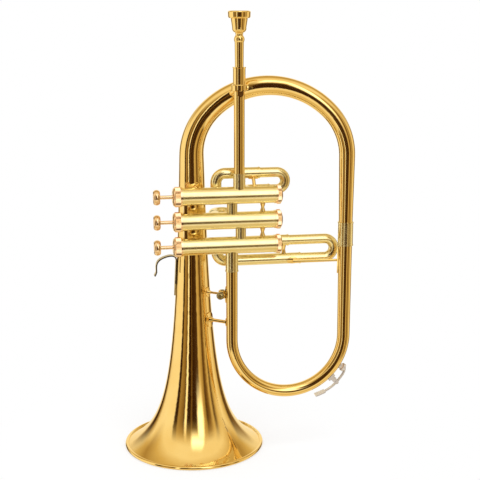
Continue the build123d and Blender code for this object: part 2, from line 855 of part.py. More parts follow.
# ---------------------------------------------------------------- lyre holder and its screw
lyre_distance = leg_distance - left_leg_d / 2 - lyre_body_d / 2 - 1.4
lyre_centre = around_z(leg_angle, lyre_distance, lyre_z)
lyre_plate = saddle_pad((left_leg_x, valve_y, lyre_z), (0, 0, 1), left_leg_d, -to_leg, 19, 7, 1.2)
lyre_foot = bell_pad(leg_angle, lyre_z, 8, 11, 1.0)
screw_way = Vector(-0.42, -0.907, 0).normalized()
with BuildPart() as lyre_holder:
    with BuildSketch(Plane(origin=lyre_centre - up * lyre_body_h / 2)):
        Circle(lyre_body_d / 2)
    extrude(amount=lyre_body_h)
    chamfer(lyre_holder.edges().filter_by(GeomType.CIRCLE), 0.8)
    add_rod(lyre_centre, around_z(leg_angle, leg_distance - left_leg_d / 2 - 0.6, lyre_z), 4.4)
    add_rod(around_z(leg_angle, flare_radius(lyre_z) + 0.6, lyre_z), lyre_centre, 2.6)
    add_rod(
        around_z(leg_angle, flare_radius(lyre_z) + 0.6, lyre_z),
        around_z(leg_angle, flare_radius(lyre_z) + 4.5, lyre_z),
        6.4,
        2.6,
    )
    add_rod(
        lyre_centre + screw_way * (lyre_body_d / 2 - 0.8),
        lyre_centre + screw_way * (lyre_body_d / 2 + 1.4),
        5.4,
    )
    add(lyre_plate)
    add(lyre_foot)
    add_rod(lyre_centre - up * lyre_body_h, lyre_centre + up * lyre_body_h, lyre_bore_d, mode=Mode.SUBTRACT)
    add_rod(lyre_centre, lyre_centre + screw_way * lyre_body_d, lyre_screw_d + 0.1, mode=Mode.SUBTRACT)
finish(lyre_holder, "lyre_holder")

lyre_screw_tip = lyre_centre + screw_way * (lyre_bore_d / 2 + 0.2)
lyre_head = lyre_centre + screw_way * (lyre_body_d / 2 + 2.0)
with BuildPart() as lyre_screw:
    add_rod(lyre_screw_tip, lyre_head, lyre_screw_d)
    with BuildSketch(Plane(origin=lyre_head, z_dir=screw_way)):
        knurled_disc(lyre_head_d, lyre_head_teeth)
    extrude(amount=3.4)
    add_rod(lyre_head + screw_way * 3.4, lyre_head + screw_way * 4.2, 6.4, 4.0)
finish(lyre_screw, "lyre_screw")

# ---------------------------------------------------------------- finger hook
hook_offset = hook_thickness / 2 + 2 * joint_gap
with BuildPart() as finger_hook:
    with BuildSketch(Plane.XZ):
        with BuildLine():
            plate = Line(
                (-flare_radius(hook_bottom_z) - hook_offset, hook_bottom_z),
                (-flare_radius(hook_top_z) - hook_offset, hook_top_z),
            )
            Spline(plate @ 1, *hook_curl, tangents=(plate % 1, (-0.5, -0.85)))
        trace(line_width=hook_thickness)
    extrude(amount=hook_width / 2, both=True)
    with BuildSketch(Plane(origin=(-60, 0, 0), z_dir=(1, 0, 0), x_dir=(0, 1, 0))):
        with BuildLine():
            Polyline(
                (0, hook_bottom_z - 1),
                (hook_width / 2, hook_bottom_z + 14),
                (hook_width / 2, hook_top_z + 30),
                (-hook_width / 2, hook_top_z + 30),
                (-hook_width / 2, hook_bottom_z + 14),
                (0, hook_bottom_z - 1),
            )
        make_face()
    extrude(amount=60, mode=Mode.INTERSECT)
finish(finger_hook, "finger_hook")

# ---------------------------------------------------------------- mouthpipe, clamp and mouthpiece
mouthpipe_plane = Plane(origin=(inlet_x, valve_y, 0), x_dir=(1, 0, 0), z_dir=(0, -1, 0))
mouthpipe_axis = Axis((inlet_x, valve_y, 0), (0, 0, 1))


def write_turned(name, points_outside, points_inside):
    """Piece turned about the mouthpipe's axis from its outside and inside outlines, both going upwards."""
    with BuildPart() as turned:
        with BuildSketch(mouthpipe_plane):
            Polygon(*points_outside, *reversed(points_inside), align=None)
        revolve(axis=mouthpipe_axis)
    finish(turned, name)


write_turned(
    "mouthpipe",
    [(mouthpipe_d / 2, mouthpipe_bottom_z), (mouthpipe_d / 2, mouthpipe_top_z)],
    [(bore_d / 2, mouthpipe_bottom_z), (bore_d / 2, mouthpipe_top_z)],
)


def shank_radius(height):
    """Radius of the mouthpiece's shank, which tapers downwards."""
    return shank_tip_r + shank_taper * (height - shank_bottom_z)


write_turned(
    "mouthpiece_receiver",
    [
        (receiver_d / 2, receiver_low_z),
        (receiver_d / 2, receiver_high_z - 1.4),
        (receiver_d / 2 + 0.4, receiver_high_z - 1.0),
        (receiver_d / 2 + 0.4, receiver_high_z),
    ],
    [
        (mouthpipe_d / 2 + joint_gap, receiver_low_z),
        (mouthpipe_d / 2 + joint_gap, mouthpipe_top_z),
        (shank_radius(mouthpipe_top_z) + joint_gap, mouthpipe_top_z),
        (shank_radius(receiver_high_z) + joint_gap, receiver_high_z),
    ],
)

with BuildPart() as mouthpiece:
    with BuildSketch(mouthpipe_plane):
        with BuildLine():
            shank = Line((shank_tip_r, shank_bottom_z), (shank_radius(457.6), 457.6))
            bead = ThreePointArc(shank @ 1, (5.6, 460.8), (4.15, 464.4))
            throat = ThreePointArc(bead @ 1, (4.05, 466.0), (4.7, 467.4))
            bowl = RadiusArc(throat @ 1, (7.5, 472.4), -4.6)
            cup = Line(bowl @ 1, (9.0, 482.0))
            step = Polyline(cup @ 1, (rim_r - 0.7, 482.6), (rim_r - 0.2, 483.6), (rim_r, 488.6))
            lip = ThreePointArc(step @ 1, (10.0, mouthpiece_top_z), (8.3, 488.9))
            inner_cup = Spline(lip @ 1, (6.6, 480.0), (3.9, 472.0), (throat_r, 465.6))
            Polyline(inner_cup @ 1, (throat_r, 460.0), (3.5, shank_bottom_z), shank @ 0)
        make_face()
    revolve(axis=mouthpipe_axis)
finish(mouthpiece, "mouthpiece")

clamp_mid_z = (clamp_low_z + clamp_high_z) / 2
lug_angle = math.radians(lug_bow_angle)
bow_lug_point = bow_plane.from_local_coords(
    Vector(
        bow_middle - bow_crown_r * math.sin(lug_angle),
        crown_centre_rise + bow_crown_r * math.cos(lug_angle),
        0,
    )
)
with BuildPart() as mouthpipe_clamp:
    with BuildSketch(Plane(origin=(inlet_x, valve_y, clamp_low_z))):
        Circle(clamp_d / 2)
    extrude(amount=clamp_high_z - clamp_low_z)
    chamfer(mouthpipe_clamp.edges().filter_by(GeomType.CIRCLE), 0.8)
    add_rod((inlet_x, valve_y, clamp_mid_z), (inlet_x + clamp_d / 2 + 1.2, valve_y, clamp_mid_z), 5.0)
    add_rod((inlet_x, valve_y, clamp_mid_z - 0.4), bow_lug_point, 6.0, 9.0)
    add_rod(
        (inlet_x, valve_y - clamp_d / 2 + 0.3, clamp_low_z - 2.6),
        (inlet_x, valve_y - clamp_d / 2 + 1.7, clamp_low_z - 2.6),
        6.4,
    )
    with Locations((inlet_x, valve_y - clamp_d / 2 + 1.0, clamp_low_z - 0.4)):
        Box(6.4, 1.4, 4.4)
    add(upper_core.part, mode=Mode.SUBTRACT)
    add_rod(
        (inlet_x, valve_y, clamp_low_z - 9),
        (inlet_x, valve_y, clamp_high_z + 1),
        mouthpipe_d + 2 * joint_gap,
        mode=Mode.SUBTRACT,
    )
    add_rod(
        (inlet_x, valve_y, clamp_mid_z),
        (inlet_x + clamp_d, valve_y, clamp_mid_z),
        clamp_screw_d + 2 * joint_gap,
        mode=Mode.SUBTRACT,
    )
finish(mouthpipe_clamp, "mouthpipe_clamp")

with BuildPart() as clamp_screw:
    screw_start = inlet_x + mouthpipe_d / 2 + 0.2
    screw_end = inlet_x + clamp_d / 2 + 2.4
    add_rod((screw_start, valve_y, clamp_mid_z), (screw_end, valve_y, clamp_mid_z), clamp_screw_d)
    with BuildSketch(Plane(origin=(inlet_x + clamp_d / 2 + 1.6, valve_y, clamp_mid_z - 0.9))):
        with Locations((2.2, 0)):
            RectangleRounded(4.4, 7.0, 1.6)
    extrude(amount=1.8)
finish(clamp_screw, "clamp_screw")

# ---------------------------------------------------------------- water key
def on_arc(angle, radius):
    """Point at an angle and a radius about the lower bow's arc."""
    return Vector(
        lower_arc_x + radius * math.cos(math.radians(angle)),
        valve_y,
        lower_arc_z + radius * math.sin(math.radians(angle)),
    )


tube_d_at_key = left_leg_d + 0.75 * (lower_arc_d - left_leg_d)
arc_outside_r = lower_arc_r + tube_d_at_key / 2
key_out = Vector(math.cos(math.radians(key_angle)), 0, math.sin(math.radians(key_angle)))
key_plane = Plane(origin=on_arc(key_angle, arc_outside_r), x_dir=(key_out.Z, 0, -key_out.X), z_dir=(0, -1, 0))
nipple_out = Vector(math.cos(math.radians(nipple_angle)), 0, math.sin(math.radians(nipple_angle)))
nipple_base = on_arc(nipple_angle, arc_outside_r)
nipple_top = nipple_base + nipple_out * nipple_height
key_pivot = key_plane.from_local_coords(Vector(0, key_pin_height, 0))

with BuildPart() as water_key_nipple:
    add_rod(nipple_base - nipple_out * 2, nipple_top, 6.6)
    add(lower_core.part, mode=Mode.SUBTRACT)
    add_rod(nipple_base - nipple_out * 3, nipple_top, 4.0, mode=Mode.SUBTRACT)
finish(water_key_nipple, "water_key_nipple")

with BuildPart() as water_key_saddle:
    with BuildSketch(key_plane):
        with Locations((0, -0.4)):
            Rectangle(9, 3.2)
    extrude(amount=key_lug_outer, both=True)
    add(lower_core.part, mode=Mode.SUBTRACT)
    for side in (-1, 1):
        with BuildSketch(key_plane.offset(side * (key_lug_outer + key_lug_inner) / 2)):
            with Locations((0, key_pin_height)):
                Circle(2.4)
            with Locations((0, key_pin_height / 2 + 0.4)):
                Rectangle(4.8, key_pin_height - 0.8)
            with Locations((0, key_pin_height)):
                Circle(key_pin_d / 2 + 0.02, mode=Mode.SUBTRACT)
        extrude(amount=(key_lug_outer - key_lug_inner) / 2, both=True)
finish(water_key_saddle, "water_key_saddle")

with BuildPart() as water_key_pin:
    add_rod(key_pivot - back * (key_lug_outer + 0.6), key_pivot + back * (key_lug_outer + 0.6), key_pin_d)
    for side in (-1, 1):
        head = key_pivot + back * side * (key_lug_outer + 0.05)
        add_rod(head, head + back * side * 0.9, 3.0)
finish(water_key_pin, "water_key_pin")

with BuildPart() as water_key_cork:
    add_rod(nipple_top, nipple_top + nipple_out * 2.4, 7.4)
finish(water_key_cork, "water_key_cork")

cup_top = key_plane.to_local_coords(nipple_top + nipple_out * 3.4)
with BuildPart() as water_key_lever:
    with BuildSketch(key_plane):
        with BuildLine():
            Spline((cup_top.X - 2, cup_top.Y - 0.4), *key_arm, *key_pad)
        trace(line_width=key_arm_thickness)
        with Locations((0, key_pin_height)):
            Circle(2.3)
    extrude(amount=key_barrel / 2, both=True)
    with BuildSketch(key_plane):
        with BuildLine():
            Spline(*key_pad)
        trace(line_width=key_arm_thickness)
    extrude(amount=key_pad_width / 2, both=True)
    add_rod(nipple_top + nipple_out * 1.0, nipple_top + nipple_out * 3.6, 9.2)
    add_rod(nipple_top + nipple_out * 0.9, nipple_top + nipple_out * 2.4, 7.5, mode=Mode.SUBTRACT)
    add_rod(key_pivot - back * key_barrel, key_pivot + back * key_barrel, key_pin_d + 0.1, mode=Mode.SUBTRACT)
finish(water_key_lever, "water_key_lever")

with BuildPart() as water_key_spring:
    for side in (-1, 1):
        coil_start = key_pivot + back * side * (key_barrel / 2 + 0.4)
        with BuildLine() as coil:
            Helix(pitch=0.75, height=1.6, radius=1.6, center=coil_start, direction=back * side)
        with BuildSketch(Plane(origin=coil.line @ 0, z_dir=coil.line % 0)):
            Circle(0.3)
        sweep(path=coil.line, is_frenet=True)
finish(water_key_spring, "water_key_spring")

# ---------------------------------------------------------------- pistons, stems, buttons and springs
def piston_passages(number):
    """The passages of one piston: straight through at rest, and the two to its slide when pressed."""
    entry, leaving, low_slide, high_slide = valve_ports[number]

    def surface(port, shift):
        return Vector(port[0] - shift, valve_y, valve_z[number]) + port[2] * piston_d / 2

    return (
        (surface(entry, 0), surface(leaving, 0)),
        (surface(entry, stroke), surface(high_slide, stroke)),
        (surface(low_slide, stroke), surface(leaving, stroke)),
    )


notch_width = guide_width + 2 * guide_clearance
notch_depth = shoulder_d - 2 * guide_inner_r + 2 * guide_clearance
for number in range(3):
    passages = piston_passages(number)
    valve_centre = (0, valve_y, valve_z[number])
    with BuildPart() as piston:
        for start, end in passages:
            overrun = (end - start).normalized() * 6
            add_rod(start - overrun, end + overrun, passage_d + 2 * piston_wall)
        add_along_valve(number, piston_left_x, piston_right_x, piston_d - piston_wall, Mode.INTERSECT)
        with BuildSketch(valve_plane(number)):
            with BuildLine():
                Polyline(
                    (piston_left_x, 0),
                    (piston_left_x, piston_d / 2),
                    (piston_right_x, piston_d / 2),
                    (piston_right_x, 0),
                    (piston_right_x - piston_wall, 0),
                    (piston_right_x - piston_wall, piston_d / 2 - piston_wall),
                    (piston_left_x + piston_wall, piston_d / 2 - piston_wall),
                    (piston_left_x + piston_wall, 0),
                    close=True,
                )
            make_face()
        revolve(axis=valve_axis(number))
        for start, end in passages:
            overrun = (end - start).normalized() * 6
            add_rod(start - overrun, end + overrun, passage_d, mode=Mode.SUBTRACT)
    finish(piston, f"piston_{number + 1}")

    with BuildPart() as valve_stem:
        add_along_valve(number, stem_left_x, piston_left_x, stem_d)
        with BuildSketch(across_valve(number, shoulder_x)) as shoulder:
            Circle(shoulder_d / 2)
            with Locations((0, shoulder_d / 2)):
                Rectangle(notch_width, notch_depth, mode=Mode.SUBTRACT)
        extrude(shoulder.sketch, amount=shoulder_thickness)
    finish(valve_stem, f"valve_stem_{number + 1}")

    with BuildPart() as felt:
        add_along_valve(number, top_cap_left_x + cap_floor + 2 * joint_gap, shoulder_x, felt_d)
        add_along_valve(number, top_cap_left_x, shoulder_x, stem_hole_d, Mode.SUBTRACT)
    finish(felt, f"valve_felt_{number + 1}")

    with BuildPart() as button:
        with BuildSketch(valve_plane(number)):
            with BuildLine():
                face = Polyline(
                    (button_left_x + 1.0, 0),
                    (button_left_x + 0.5, 0.36 * button_d),
                    (button_left_x, 0.42 * button_d),
                )
                edge = ThreePointArc(
                    face @ 1,
                    ((button_left_x + button_right_x) / 2, button_d / 2),
                    (button_right_x, 0.42 * button_d),
                )
                Polyline(
                    edge @ 1,
                    (button_right_x, collar_d / 2),
                    (collar_right_x, collar_d / 2),
                    (collar_right_x, stem_d / 2 + joint_gap),
                    (stem_left_x - 0.1, stem_d / 2 + joint_gap),
                    (stem_left_x - 0.1, 0),
                    face @ 0,
                )
            make_face()
        revolve(axis=valve_axis(number))
    finish(button, f"finger_button_{number + 1}")

    spring_x = piston_right_x + spring_wire_d / 2 + joint_gap
    spring_length = bottom_cap_right_x - cap_floor - piston_right_x - spring_wire_d - 2 * joint_gap
    with BuildPart() as spring:
        with BuildLine() as coil:
            Helix(
                pitch=spring_length / spring_turns,
                height=spring_length,
                radius=spring_r,
                center=(spring_x, valve_y, valve_z[number]),
                direction=(1, 0, 0),
            )
        with BuildSketch(Plane(origin=coil.line @ 0, z_dir=coil.line % 0)):
            Circle(spring_wire_d / 2)
        sweep(path=coil.line, is_frenet=True)
    finish(spring, f"valve_spring_{number + 1}")
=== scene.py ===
import json
import math

import bpy
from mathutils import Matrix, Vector


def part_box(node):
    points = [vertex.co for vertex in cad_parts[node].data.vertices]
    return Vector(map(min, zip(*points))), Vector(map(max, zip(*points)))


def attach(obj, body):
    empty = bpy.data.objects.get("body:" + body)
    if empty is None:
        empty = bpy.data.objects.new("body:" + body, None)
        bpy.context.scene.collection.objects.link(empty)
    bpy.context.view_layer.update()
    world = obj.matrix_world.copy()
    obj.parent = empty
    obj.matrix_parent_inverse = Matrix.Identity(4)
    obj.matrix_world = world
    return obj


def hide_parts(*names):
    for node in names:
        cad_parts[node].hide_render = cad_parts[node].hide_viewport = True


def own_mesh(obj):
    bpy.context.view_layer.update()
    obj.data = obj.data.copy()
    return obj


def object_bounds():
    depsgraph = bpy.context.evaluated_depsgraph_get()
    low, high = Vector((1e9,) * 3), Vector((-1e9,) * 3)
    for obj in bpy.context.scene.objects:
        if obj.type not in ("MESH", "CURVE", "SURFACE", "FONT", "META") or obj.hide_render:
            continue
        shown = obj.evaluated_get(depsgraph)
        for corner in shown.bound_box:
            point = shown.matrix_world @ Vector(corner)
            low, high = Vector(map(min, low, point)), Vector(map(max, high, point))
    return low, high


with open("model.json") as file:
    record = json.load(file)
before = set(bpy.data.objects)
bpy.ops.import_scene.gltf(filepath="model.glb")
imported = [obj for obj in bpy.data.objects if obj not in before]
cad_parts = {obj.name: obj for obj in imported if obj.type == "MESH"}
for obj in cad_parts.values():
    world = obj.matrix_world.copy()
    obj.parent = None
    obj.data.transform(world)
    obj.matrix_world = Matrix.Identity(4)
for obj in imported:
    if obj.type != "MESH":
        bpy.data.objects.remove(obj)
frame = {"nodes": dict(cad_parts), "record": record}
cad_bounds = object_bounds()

cad_nodes = frame["nodes"]
low, high = cad_bounds
centre = (low + high) / 2
valve_y = sum(corner.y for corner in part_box("valve_casing_2")) / 2

# Camera, as azimuth and elevation round the horn, in degrees, and a distance in metres.  The lens and the
# sensor are in millimetres, the clipping distances in metres.
camera_azimuth = -10.0
camera_elevation = 12.2
camera_distance = 1.1565
camera_lens = 79.4
sensor_width = 36.0
clip_start = 0.01
clip_end = 50.0

# Light over the horn, placed as the camera is, with its size in metres and its power in watts.
light_azimuth = camera_azimuth + 20
light_elevation = 62
light_distance = 1.4
light_width = 1.0
light_depth = 0.8
light_power = 6

# The studio that the metal mirrors, in degrees.  Upright stripes stand round the horn, counted from the
# camera to the right.  They reach from stripes_low to stripes_high in front, and droop by stripes_droop at
# the sides and twice that at the back.  Above and below them is an arch of light, counted up from the front
# and over the top to the back.  Two softboxes hang in front of the horn, each given as its left and right
# sides and its low and high ends.  An edge is how far its side or end fades each way.
black_brown = (0.035, 0.012, 0.003)
dark_brown = (0.085, 0.038, 0.010)
mid_brown = (0.24, 0.13, 0.03)
amber = (0.45, 0.29, 0.09)
tan = (0.74, 0.54, 0.22)
cream = (1.02, 0.87, 0.56)
white = (1.08, 0.95, 0.66)
bright = (1.5, 1.35, 0.98)
softbox_light = (2.2, 2.1, 1.7)
stripes_low = -22.0
stripes_low_edge = 3.0
stripes_high = 40.0
stripes_high_edge = 20.0
stripes_droop = 14.0
softboxes = [(-6.0, 32.0, 42.0, 62.0), (15.0, 32.0, 8.0, 50.0)]
softbox_side_edge = 5.0
softbox_end_edge = 12.0
studio_stripes = [
    (-152, cream),
    (-147, mid_brown),
    (-142, black_brown),
    (-136, black_brown),
    (-129, amber),
    (-120, cream),
    (-100, white),
    (-65, white),
    (-61, black_brown),
    (-53, black_brown),
    (-50, amber),
    (-34, mid_brown),
    (-30, black_brown),
    (-26, bright),
    (-23, bright),
    (-20, black_brown),
    (-9, black_brown),
    (-5, mid_brown),
    (-2, black_brown),
    (22, dark_brown),
    (28, tan),
    (43, amber),
    (47, dark_brown),
    (56, mid_brown),
    (66, tan),
    (74, dark_brown),
    (82, tan),
    (104, cream),
    (122, tan),
    (130, dark_brown),
    (148, mid_brown),
    (156, cream),
]
studio_arch = [
    (-180, cream),
    (-130, tan),
    (-100, cream),
    (-60, tan),
    (-40, cream),
    (-24, white),
    (0, tan),
    (40, tan),
    (62, cream),
    (84, cream),
    (104, tan),
    (126, amber),
    (140, tan),
    (152, white),
    (180, cream),
]

# Lacquered metals: the two colours that drift into each other, and the colours of the tarnish and painted
# shade in the corners.
deep_gold = ((0.95, 0.73, 0.33), (0.92, 0.68, 0.28))
pale_gold = ((0.93, 0.84, 0.54), (0.90, 0.79, 0.47))
rose_gold = ((0.94, 0.73, 0.55), (0.90, 0.66, 0.46))
# The olive brass is painted dark reflection: brass darkened to stand for the dark surroundings that thin
# parts mirror.
olive_brass_painted_shade = ((0.36, 0.29, 0.14), (0.28, 0.21, 0.09))
nickel_silver = ((0.78, 0.74, 0.72), (0.66, 0.61, 0.58))
bare_nickel = ((0.72, 0.72, 0.70), (0.62, 0.62, 0.60))
spring_steel = ((0.60, 0.60, 0.61), (0.48, 0.48, 0.50))
# These two are partly tarnish and partly painted shade: the metals darken towards them wherever ambient
# occlusion finds a sheltered corner.
brass_tarnish_and_shade = (0.22, 0.12, 0.05)
grey_tarnish_and_shade = (0.16, 0.13, 0.10)

# Detail of the metals: how many times the noises repeat in a metre, the bumps' heights in metres and their
# strengths, how near a corner the tarnish and painted shade gather, in metres, how much of them there is
# and how much rougher the corners are, and the clear lacquer.
drift_scale = 34.0
cloud_scale = 120.0
ripple_scale = 260.0
stain_scale = 420.0
buffing_scale = 2600.0
ripple_height = 0.00006
ripple_strength = 0.06
buffing_height = 0.00002
buffing_strength = 0.05
corner_reach = 0.0014
corner_samples = 12
tarnish_and_shade_share = 0.4
tarnish_roughness = 0.25
lacquer_share = 0.6
lacquer_roughness = 0.03
lacquer_ior = 1.5

# Felt and cork.
felt_dark = (0.22, 0.012, 0.012)
felt_light = (0.46, 0.04, 0.035)
fibre_scale = 2400.0
fibre_height = 0.0002
fibre_strength = 0.8
felt_sheen = 0.6
cork_pore = (0.16, 0.07, 0.03)
cork_dark = (0.52, 0.32, 0.16)
cork_light = (0.66, 0.45, 0.26)
cork_cell_scale = 2200.0
cork_speckle_scale = 1500.0
cork_height = 0.0002
cork_strength = 0.7

# Floor: its paint, and the distances from the bell's axis between which its own glow takes over.
floor_radius = 1.1
floor_sides = 96
floor_white = (0.92, 0.92, 0.92, 1)
floor_roughness = 0.9
floor_shine = 0.1
glow_start = 0.05
glow_full = 0.24
least_glow = 0.5


class Nodes:
    """Short names for adding nodes to one tree."""

    def __init__(self, tree):
        self.tree = tree

    def add(self, kind, **settings):
        node = self.tree.nodes.new(kind)
        for key, value in settings.items():
            setattr(node, key, value)
        return node

    def join(self, output, target):
        self.tree.links.new(output, target)

    def give(self, value, target):
        """Joins an output to a socket, or sets the socket to a number or a colour."""
        if isinstance(value, (int, float)):
            target.default_value = value
        elif isinstance(value, tuple):
            target.default_value = (*value, 1)
        else:
            self.join(value, target)

    def stretched(self, vector, scale):
        """Coordinates scaled by a different amount each way."""
        mapping = self.add("ShaderNodeMapping")
        mapping.inputs["Scale"].default_value = scale
        self.join(vector, mapping.inputs["Vector"])
        return mapping.outputs["Vector"]

    def noise(self, vector, scale, detail=2.0, roughness=0.5):
        texture = self.add("ShaderNodeTexNoise")
        texture.inputs["Scale"].default_value = scale
        texture.inputs["Detail"].default_value = detail
        texture.inputs["Roughness"].default_value = roughness
        self.join(vector, texture.inputs["Vector"])
        return texture.outputs["Fac"]

    def ramp(self, factor, stops):
        """Colours along a factor, each stop being (place, colour)."""
        ramp = self.add("ShaderNodeValToRGB")
        elements = ramp.color_ramp.elements
        elements.remove(elements[1])
        for index, (place, colour) in enumerate(stops):
            element = elements[0] if index == 0 else elements.new(place)
            element.position = place
            element.color = (*colour, 1)
        self.join(factor, ramp.inputs["Fac"])
        return ramp.outputs["Color"]

    def span(self, value, from_low, from_high, to_low=0.0, to_high=1.0, curve="LINEAR"):
        """A value carried from one range to another and held inside it."""
        node = self.add("ShaderNodeMapRange", interpolation_type=curve)
        node.inputs["From Min"].default_value = from_low
        node.inputs["From Max"].default_value = from_high
        node.inputs["To Min"].default_value = to_low
        node.inputs["To Max"].default_value = to_high
        self.join(value, node.inputs["Value"])
        return node.outputs["Result"]

    def math(self, operation, *values):
        node = self.add("ShaderNodeMath", operation=operation)
        for value, socket in zip(values, node.inputs):
            self.give(value, socket)
        return node.outputs["Value"]

    def mixed(self, factor, first, second):
        node = self.add("ShaderNodeMix", data_type="RGBA")
        colour_inputs = [socket for socket in node.inputs if socket.type == "RGBA"]
        self.join(factor, node.inputs["Factor"])
        for value, socket in zip((first, second), colour_inputs):
            self.give(value, socket)
        return next(socket for socket in node.outputs if socket.type == "RGBA")

    def bump(self, height, strength, distance, under=None):
        node = self.add("ShaderNodeBump")
        node.inputs["Strength"].default_value = strength
        node.inputs["Distance"].default_value = distance
        self.join(height, node.inputs["Height"])
        if under is not None:
            self.join(under, node.inputs["Normal"])
        return node.outputs["Normal"]


def new_material(name):
    """A material, its nodes, its shader's node and the coordinates of the object that it is on."""
    material = bpy.data.materials.new(name)
    material.use_nodes = True
    nodes = Nodes(material.node_tree)
    shader = material.node_tree.nodes["Principled BSDF"]
    return material, nodes, shader, nodes.add("ShaderNodeTexCoord").outputs["Object"]


def metal(name, colours, tarnish_and_shade, smooth, rough, grain, lacquer, metallic):
    """Buffed metal: drifting colour, fine buffing lines, faint ripples, tarnish mixed with painted shade
    that darkens the colour in occluded corners, such as where parts are soldered, and clear lacquer over
    it."""
    material, nodes, shader, place = new_material(name)
    drift = nodes.noise(place, drift_scale, detail=3.0, roughness=0.55)
    colour = nodes.ramp(drift, [(0.36, colours[0]), (0.64, colours[1])])
    # Painted shade with tarnish: the colour darkens towards the tarnish colour where ambient occlusion
    # finds a corner, in patches set by the stain noise.
    corner = nodes.add("ShaderNodeAmbientOcclusion", samples=corner_samples, only_local=False)
    corner.inputs["Distance"].default_value = corner_reach
    stain = nodes.noise(place, stain_scale, detail=4.0, roughness=0.6)
    shade_and_tarnish = nodes.span(corner.outputs["AO"], 0.15, 0.7, tarnish_and_shade_share, 0.0)
    shade_and_tarnish = nodes.math("MULTIPLY", shade_and_tarnish, nodes.span(stain, 0.35, 0.65, 0.45, 1.0))
    colour = nodes.mixed(shade_and_tarnish, colour, tarnish_and_shade)
    nodes.join(colour, shader.inputs["Base Color"])
    shader.inputs["Metallic"].default_value = metallic
    buffing = nodes.noise(nodes.stretched(place, grain), buffing_scale, detail=3.0, roughness=0.6)
    cloud = nodes.noise(place, cloud_scale, detail=4.0, roughness=0.6)
    gloss = nodes.span(nodes.math("ADD", buffing, cloud), 0.8, 1.25, smooth, rough)
    dulled = nodes.math("ADD", gloss, nodes.math("MULTIPLY", shade_and_tarnish, tarnish_roughness))
    nodes.join(dulled, shader.inputs["Roughness"])
    ripple = nodes.noise(place, ripple_scale)
    waves = nodes.bump(ripple, ripple_strength, ripple_height)
    nodes.join(nodes.bump(buffing, buffing_strength, buffing_height, waves), shader.inputs["Normal"])
    shader.inputs["Coat Weight"].default_value = lacquer
    shader.inputs["Coat Roughness"].default_value = lacquer_roughness
    shader.inputs["Coat IOR"].default_value = lacquer_ior
    return material


def lacquered(name, colours, smooth, rough, grain=(1, 1, 1)):
    """Brass under clear lacquer."""
    return metal(name, colours, brass_tarnish_and_shade, smooth, rough, grain, lacquer_share, 1.0)


def bare(name, colours, smooth, rough, metallic):
    """Nickel or steel without lacquer.  Less than wholly metallic, it looks pale in a dark room."""
    return metal(name, colours, grey_tarnish_and_shade, smooth, rough, (1, 1, 1), 0.0, metallic)


def pressed_felt():
    """Dyed wool felt: matted fibres, with a soft sheen."""
    material, nodes, shader, place = new_material("pressed_felt")
    fibres = nodes.noise(nodes.stretched(place, (1, 1, 2)), fibre_scale, detail=6.0, roughness=0.7)
    nodes.join(nodes.ramp(fibres, [(0.3, felt_dark), (0.7, felt_light)]), shader.inputs["Base Color"])
    nodes.join(nodes.span(fibres, 0.3, 0.7, 0.82, 1.0), shader.inputs["Roughness"])
    nodes.join(nodes.bump(fibres, fibre_strength, fibre_height), shader.inputs["Normal"])
    shader.inputs["Sheen Weight"].default_value = felt_sheen
    return material


def natural_cork():
    """Fine cork: pale cells with dark pores."""
    material, nodes, shader, place = new_material("natural_cork")
    cells = nodes.add("ShaderNodeTexVoronoi")
    cells.inputs["Scale"].default_value = cork_cell_scale
    nodes.join(place, cells.inputs["Vector"])
    speckle = nodes.noise(place, cork_speckle_scale, detail=5.0, roughness=0.7)
    tone = nodes.math("MULTIPLY", cells.outputs["Distance"], speckle)
    colour = nodes.ramp(tone, [(0.02, cork_pore), (0.12, cork_dark), (0.4, cork_light)])
    nodes.join(colour, shader.inputs["Base Color"])
    nodes.join(nodes.span(tone, 0.0, 0.3, 0.95, 0.7), shader.inputs["Roughness"])
    nodes.join(nodes.bump(tone, cork_strength, cork_height), shader.inputs["Normal"])
    return material


def floor_paint():
    """Plain white studio floor, which glows away from the horn, so that it meets the backdrop unseen."""
    material, nodes, shader, place = new_material("floor_paint")
    shader.inputs["Base Color"].default_value = floor_white
    shader.inputs["Roughness"].default_value = floor_roughness
    shader.inputs["Specular IOR Level"].default_value = floor_shine
    distance = nodes.add("ShaderNodeVectorMath", operation="LENGTH")
    nodes.join(place, distance.inputs[0])
    glow = nodes.add("ShaderNodeEmission")
    glow.inputs["Strength"].default_value = 1.0
    blend = nodes.add("ShaderNodeMixShader")
    glow_share = nodes.span(distance.outputs["Value"], glow_start, glow_full, least_glow, 1.0)
    nodes.join(glow_share, blend.inputs["Fac"])
    nodes.join(shader.outputs["BSDF"], blend.inputs[1])
    nodes.join(glow.outputs["Emission"], blend.inputs[2])
    nodes.join(blend.outputs["Shader"], material.node_tree.nodes["Material Output"].inputs["Surface"])
    return material


# By slot.  A metal has its colours, its roughness where it is smoothest and where it is roughest, and the
# scales of its grain along X, Y and Z.  The buffing lines run along the axes with the small numbers.
materials = {
    "lacquered_brass": lacquered("lacquered_brass", deep_gold, 0.05, 0.10, (1, 1, 0.02)),
    "bright_brass": lacquered("bright_brass", pale_gold, 0.18, 0.25, (0.02, 1, 1)),
    "fitting_brass": lacquered("fitting_brass", deep_gold, 0.05, 0.12),
    "rose_brass": lacquered("rose_brass", rose_gold, 0.10, 0.18, (1, 0.05, 0.05)),
    # dark_brass carries painted dark reflection: a darkened copy of brass standing for the dark room that
    # it mirrors.
    "dark_brass": lacquered("dark_brass", olive_brass_painted_shade, 0.14, 0.24),
    "nickel_silver": bare("nickel_silver", nickel_silver, 0.10, 0.20, 0.5),
    "piston_nickel": bare("piston_nickel", bare_nickel, 0.22, 0.36, 0.7),
    "spring_steel": bare("spring_steel", spring_steel, 0.22, 0.34, 0.7),
    "felt": pressed_felt(),
    "cork": natural_cork(),
}


